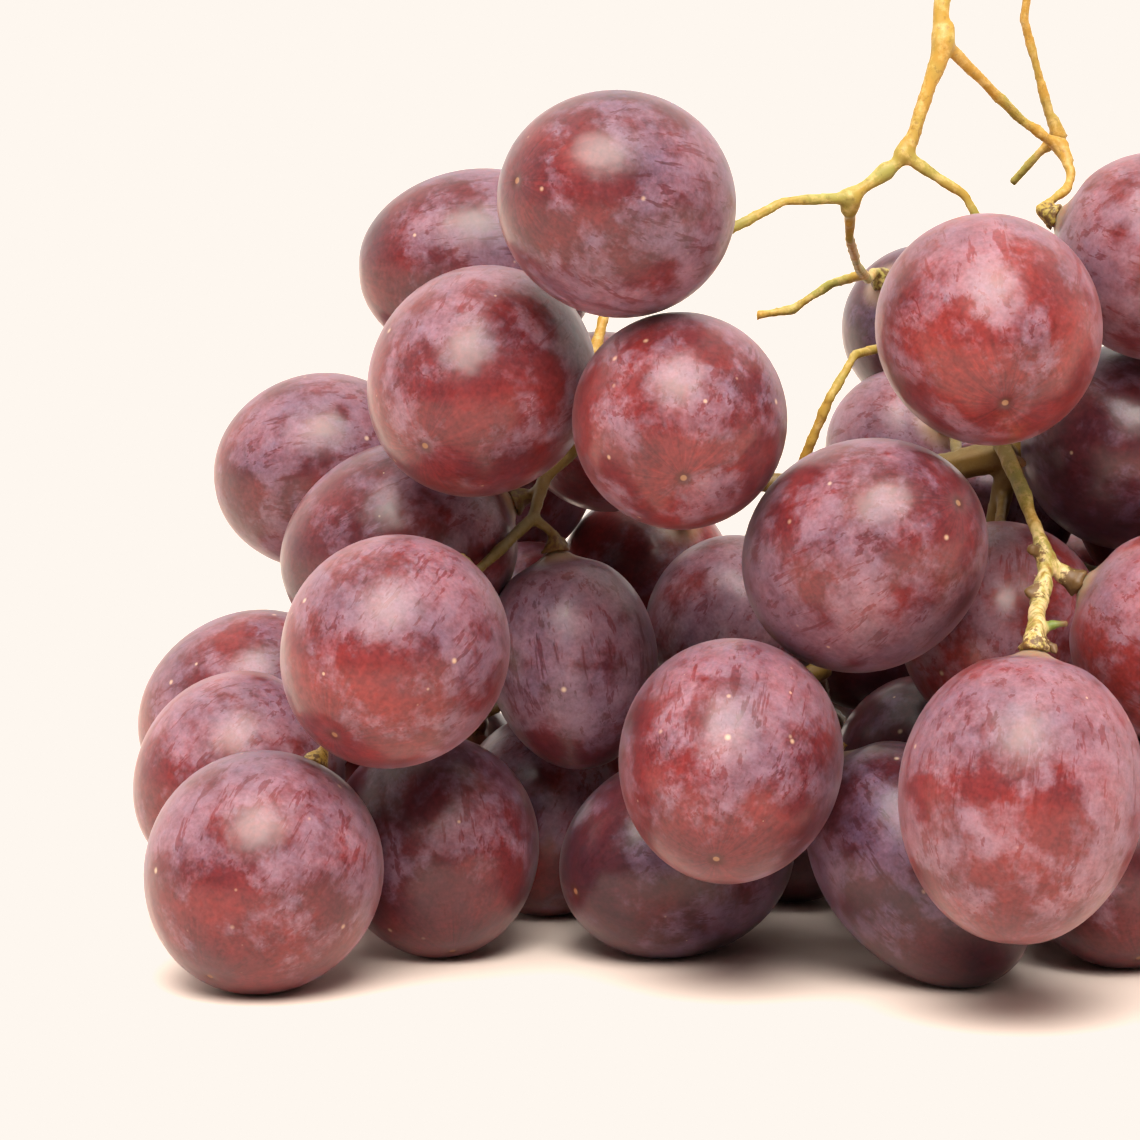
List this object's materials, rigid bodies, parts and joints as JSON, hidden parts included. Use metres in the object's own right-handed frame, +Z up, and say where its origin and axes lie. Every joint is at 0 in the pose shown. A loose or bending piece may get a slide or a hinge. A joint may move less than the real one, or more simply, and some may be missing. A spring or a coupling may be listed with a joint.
{
  "type": "bunch of grapes",
  "caption": "Bunch of red-purple table grapes lying on a surface, held together by a branching ochre stalk whose cut end stands up at the back.",
  "frame": {"origin": "on the surface, under the middle of the bunch's bounding box", "axes": "+X along the length of the bunch, from its rounded left end to its right end; +Y from its front to its back; +Z up"},
  "size_m": [0.1786, 0.1146, 0.1323],
  "materials": {
    "grape_skin": null,
    "stalk": "fresh ochre to greenish-brown stalk, finely ribbed, darker at its knots"
  },
  "bodies": {
    "root": {"stalk": "stalk", "grape_01": "grape_skin", "grape_02": "grape_skin", "grape_03": "grape_skin", "grape_04": "grape_skin", "grape_05": "grape_skin", "grape_06": "grape_skin", "grape_07": "grape_skin", "grape_08": "grape_skin", "grape_09": "grape_skin", "grape_10": "grape_skin", "grape_11": "grape_skin", "grape_12": "grape_skin", "grape_13": "grape_skin", "grape_14": "grape_skin", "grape_15": "grape_skin", "grape_16": "grape_skin", "grape_17": "grape_skin", "grape_18": "grape_skin", "grape_19": "grape_skin", "grape_20": "grape_skin", "grape_21": "grape_skin", "grape_22": "grape_skin", "grape_23": "grape_skin", "grape_24": "grape_skin", "grape_25": "grape_skin", "grape_26": "grape_skin", "grape_27": "grape_skin", "grape_28": "grape_skin", "grape_29": "grape_skin", "grape_30": "grape_skin", "grape_31": "grape_skin", "grape_32": "grape_skin", "grape_33": "grape_skin", "grape_34": "grape_skin", "grape_35": "grape_skin", "grape_36": "grape_skin", "grape_37": "grape_skin", "grape_38": "grape_skin", "grape_39": "grape_skin", "grape_40": "grape_skin", "grape_41": "grape_skin", "grape_42": "grape_skin", "grape_43": "grape_skin", "grape_44": "grape_skin", "grape_45": "grape_skin", "grape_46": "grape_skin", "grape_47": "grape_skin", "grape_48": "grape_skin", "grape_49": "grape_skin", "grape_50": "grape_skin", "grape_51": "grape_skin", "grape_52": "grape_skin", "grape_53": "grape_skin", "grape_54": "grape_skin", "grape_55": "grape_skin", "grape_56": "grape_skin", "grape_57": "grape_skin", "grape_58": "grape_skin"}
  },
  "joints": []
}
